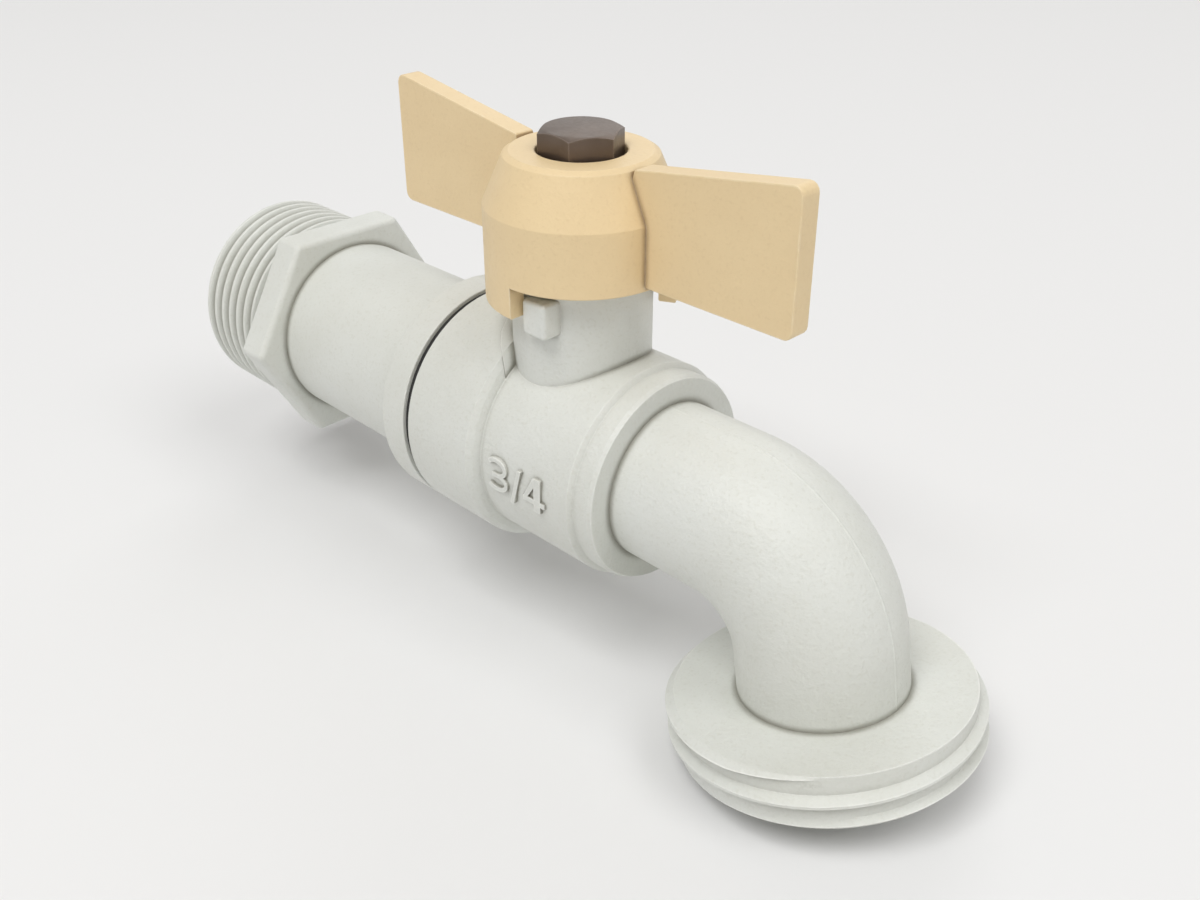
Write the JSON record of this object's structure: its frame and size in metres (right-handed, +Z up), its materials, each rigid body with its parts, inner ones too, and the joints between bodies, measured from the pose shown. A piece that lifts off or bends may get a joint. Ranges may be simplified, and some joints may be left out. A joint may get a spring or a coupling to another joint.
{
  "type": "faucet",
  "caption": "Garden faucet with a ball valve: hexagon inlet adapter, valve body with a bent spout and threaded outlet collar, and a quarter-turn butterfly handle.",
  "frame": {"origin": "centre of the inlet thread's end face, on the pipe axis", "axes": "+X from the inlet to the spout along the pipe axis, +Z up along the stem, +Y by the right-hand rule"},
  "size_m": [0.1145, 0.0332, 0.0607],
  "materials": {
    "body_coat": "satin pale grey coat over cast brass",
    "adapter_coat": "satin pale grey coat over turned brass",
    "seal_rubber": "matte",
    "ball_chrome": "polished",
    "seat_plastic": "waxy white seal plastic",
    "stem_brass": "turned",
    "handle_paint": "satin tan coat over die casting",
    "washer_steel": "zinc plated",
    "screw_steel": "browned steel"
  },
  "bodies": {
    "body": {"valve_body": "body_coat", "inlet_adapter": "adapter_coat", "body_seal_ring": "seal_rubber", "seat_inlet": "seat_plastic", "seat_outlet": "seat_plastic", "seat_cushion_inlet": "seal_rubber", "seat_cushion_outlet": "seal_rubber", "thrust_washer": "seat_plastic", "packing_ring_lower": "seat_plastic", "packing_ring_upper": "seat_plastic", "gland_nut": "stem_brass"},
    "turning_set": {"stem": "stem_brass", "stem_ring_lower": "seal_rubber", "stem_ring_upper": "seal_rubber", "handle": "handle_paint", "flat_washer": "washer_steel", "lock_washer": "washer_steel", "handle_screw": "screw_steel"},
    "ball": {"ball": "ball_chrome"}
  },
  "joints": [
    {"name": "handle_turn", "type": "hinge", "parent": "body", "child": "turning_set", "pos_m": [0.0616, 0, 0.02], "axis": [0, 0, 1], "range_deg": [-90, 0]},
    {"name": "ball_turn", "type": "hinge", "parent": "body", "child": "ball", "pos_m": [0.0616, 0, 0], "axis": [0, 0, 1], "range_deg": [-90, 0]}
  ],
  "couplings": [
    {"joint": "ball_turn", "follows": "handle_turn", "ratio": 1}
  ]
}
